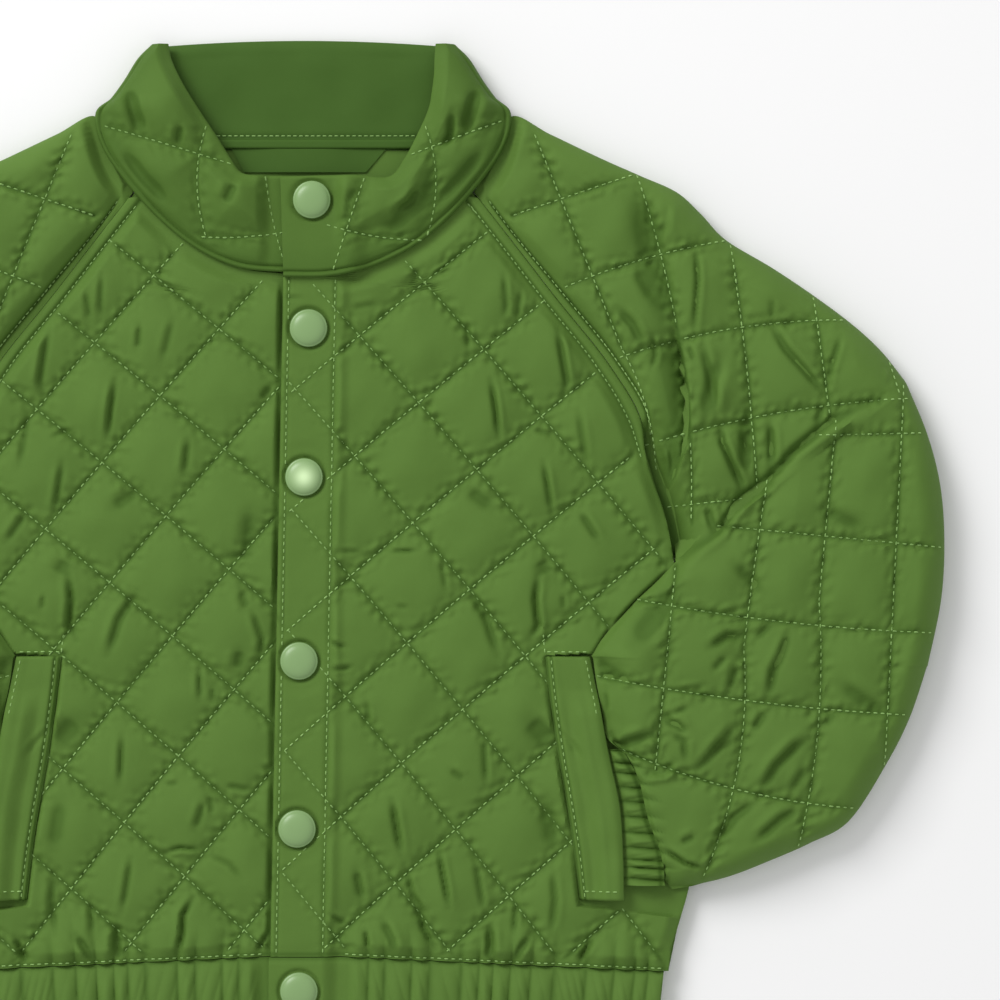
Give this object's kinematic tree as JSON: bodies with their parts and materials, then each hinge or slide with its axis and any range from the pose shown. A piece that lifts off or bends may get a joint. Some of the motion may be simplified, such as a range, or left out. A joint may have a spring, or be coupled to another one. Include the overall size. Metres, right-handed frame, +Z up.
{
  "type": "quilted jacket",
  "caption": "Diamond-quilted toddler's jacket laid flat, front up: raglan sleeves folded in to welt pockets, stand collar, snap front, gathered hem and cuffs. Worn for warmth.",
  "frame": {"origin": "on the surface the jacket lies on, under the middle of its bounding box", "axes": "+X towards the fold of the wearer's left sleeve, +Y from the hem to the collar, +Z up out of the jacket's front"},
  "size_m": [0.514, 0.395, 0.0226],
  "materials": {
    "quilted_cloth": "fine smooth weave, satin matte, over thin padding, quilted in diamonds with paler thread",
    "plain_lining": "smooth plain weave, a little darker than the outside",
    "snap_enamel": "pale green satin enamel on domed caps"
  },
  "bodies": {
    "root": {"back_panel": "quilted_cloth", "hem_band_back": "quilted_cloth", "front_left": "quilted_cloth", "front_right": "quilted_cloth", "hem_band_left": "quilted_cloth", "hem_band_right": "quilted_cloth", "sleeve_left": "quilted_cloth", "sleeve_right": "quilted_cloth", "cuff_left": "quilted_cloth", "cuff_right": "quilted_cloth", "pocket_welt_left": "quilted_cloth", "pocket_welt_right": "quilted_cloth", "collar_left": "quilted_cloth", "collar_right": "quilted_cloth", "collar_inner": "plain_lining", "neck_tape": "plain_lining", "back_facing": "plain_lining", "snap_1": "snap_enamel", "snap_2": "snap_enamel", "snap_3": "snap_enamel", "snap_4": "snap_enamel", "snap_5": "snap_enamel", "snap_6": "snap_enamel"}
  },
  "joints": []
}
